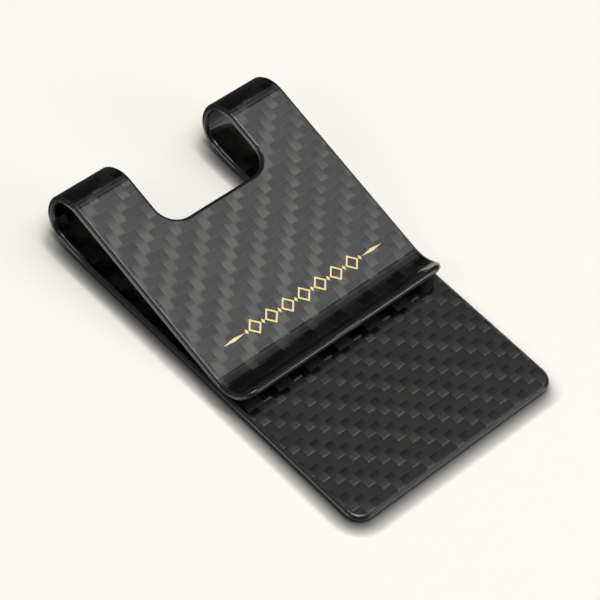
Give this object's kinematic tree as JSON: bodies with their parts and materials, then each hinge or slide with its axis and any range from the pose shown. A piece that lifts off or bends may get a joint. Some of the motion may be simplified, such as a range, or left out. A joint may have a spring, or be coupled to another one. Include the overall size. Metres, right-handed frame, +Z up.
{
  "type": "money clip",
  "caption": "Flat back plate whose arms turn over in open loops into a sprung front leaf with an upturned lip, for holding folded banknotes and cards.",
  "frame": {"origin": "centre of the overall width and length, on the underside of the back plate", "axes": "+X across the clip, +Y along it towards the loops, +Z up out of the back plate towards the front leaf"},
  "size_m": [0.045, 0.0724, 0.011],
  "materials": {
    "carbon_twill": "twill-woven carbon fibre in clear epoxy, gloss clear coat",
    "carbon_tow": "unidirectional carbon fibre in epoxy, sealed gloss edge",
    "gold_foil": "pale gold foil under clear coat"
  },
  "bodies": {
    "back": {"back_plate_outer_twill": "carbon_twill", "back_plate_outer_lengthwise": "carbon_tow", "back_plate_middle_crosswise": "carbon_tow", "back_plate_inner_lengthwise": "carbon_tow", "back_plate_inner_twill": "carbon_twill", "left_loop_outer_twill": "carbon_twill", "left_loop_outer_lengthwise": "carbon_tow", "left_loop_middle_crosswise": "carbon_tow", "left_loop_inner_lengthwise": "carbon_tow", "left_loop_inner_twill": "carbon_twill", "right_loop_outer_twill": "carbon_twill", "right_loop_outer_lengthwise": "carbon_tow", "right_loop_middle_crosswise": "carbon_tow", "right_loop_inner_lengthwise": "carbon_tow", "right_loop_inner_twill": "carbon_twill"},
    "front": {"front_leaf_outer_twill": "carbon_twill", "front_leaf_outer_lengthwise": "carbon_tow", "front_leaf_middle_crosswise": "carbon_tow", "front_leaf_inner_lengthwise": "carbon_tow", "front_leaf_inner_twill": "carbon_twill", "gold_lozenges": "gold_foil", "gold_diamonds": "gold_foil", "gold_bars": "gold_foil"}
  },
  "joints": [
    {"name": "clip_opening", "type": "hinge", "parent": "back", "child": "front", "pos_m": [0, 0.031, 0.00585], "axis": [-1, 0, 0], "range_deg": [0, 8], "stiffness_Nm_per_rad": 5, "springref_deg": -2.01, "deforming": ["left_loop_outer_twill", "left_loop_outer_lengthwise", "left_loop_middle_crosswise", "left_loop_inner_lengthwise", "left_loop_inner_twill", "right_loop_outer_twill", "right_loop_outer_lengthwise", "right_loop_middle_crosswise", "right_loop_inner_lengthwise", "right_loop_inner_twill"]}
  ]
}
